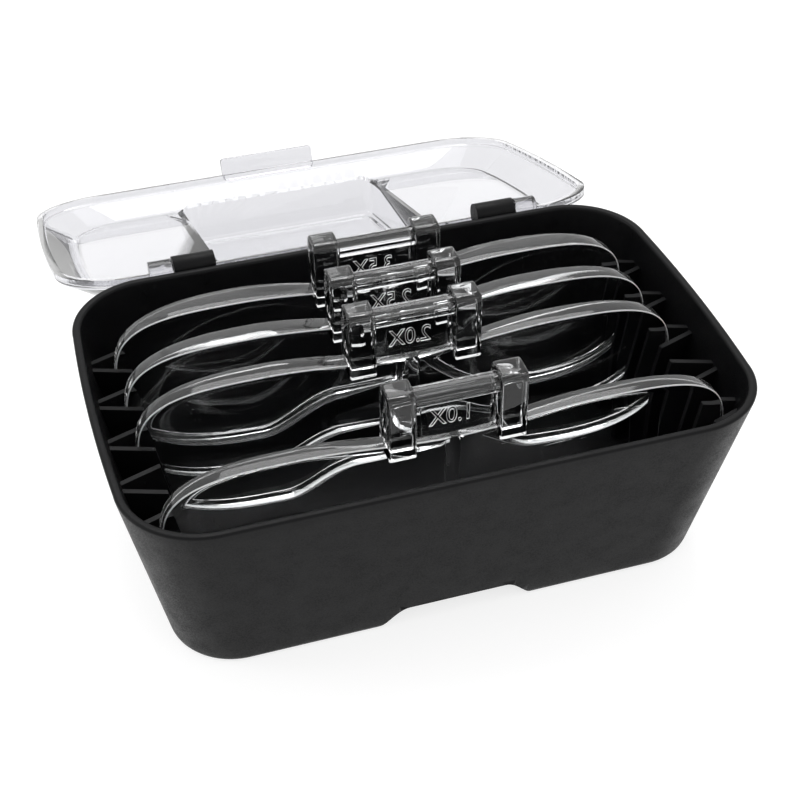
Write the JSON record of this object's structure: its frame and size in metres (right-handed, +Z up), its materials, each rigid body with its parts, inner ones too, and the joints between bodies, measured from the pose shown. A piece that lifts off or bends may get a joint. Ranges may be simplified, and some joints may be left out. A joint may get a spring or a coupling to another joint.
{
  "type": "trial lens set",
  "caption": "Black drafted storage case with a hinged clear lid, holding clear two-lobed magnifier lens plates on edge in V-shaped slots, each lifted out by a clip.",
  "frame": {"origin": "centre of the case's underside", "axes": "+Z up, front (the latch side) at -Y, +X to the right seen from the front"},
  "size_m": [0.12, 0.1575, 0.0539],
  "materials": {
    "case_black": "satin moulded, with a fine spark texture",
    "lens_acrylic": "clear, polished",
    "lid_clear": "clear, glossy"
  },
  "bodies": {
    "case": {"case_shell": "case_black", "slot_fins_left": "case_black", "slot_fins_right": "case_black", "hinge_barrel_left": "case_black", "hinge_barrel_right": "case_black"},
    "lid": {"lid_cover": "lid_clear", "lid_latch_tab": "lid_clear", "lid_knuckle_left": "lid_clear", "lid_knuckle_right": "lid_clear"},
    "plate_1_0x": {"lens_1_0x_left": "lens_acrylic", "lens_1_0x_right": "lens_acrylic", "clip_1_0x": "lens_acrylic"},
    "plate_2_0x": {"lens_2_0x_left": "lens_acrylic", "lens_2_0x_right": "lens_acrylic", "clip_2_0x": "lens_acrylic"},
    "plate_2_5x": {"lens_2_5x_left": "lens_acrylic", "lens_2_5x_right": "lens_acrylic", "clip_2_5x": "lens_acrylic"},
    "plate_3_5x": {"lens_3_5x_left": "lens_acrylic", "lens_3_5x_right": "lens_acrylic", "clip_3_5x": "lens_acrylic"}
  },
  "joints": [
    {"name": "lid_hinge", "type": "hinge", "parent": "case", "child": "lid", "pos_m": [0, 0.041, 0.039], "axis": [-1, 0, 0], "range_deg": [-198.24, 0]},
    {"name": "lift_1_0x", "type": "slide", "parent": "case", "child": "plate_1_0x", "axis": [0, 0, 1], "range_m": [0, 0.03]},
    {"name": "lift_2_0x", "type": "slide", "parent": "case", "child": "plate_2_0x", "axis": [0, 0, 1], "range_m": [0, 0.03]},
    {"name": "lift_2_5x", "type": "slide", "parent": "case", "child": "plate_2_5x", "axis": [0, 0, 1], "range_m": [0, 0.03]},
    {"name": "lift_3_5x", "type": "slide", "parent": "case", "child": "plate_3_5x", "axis": [0, 0, 1], "range_m": [0, 0.03]}
  ]
}
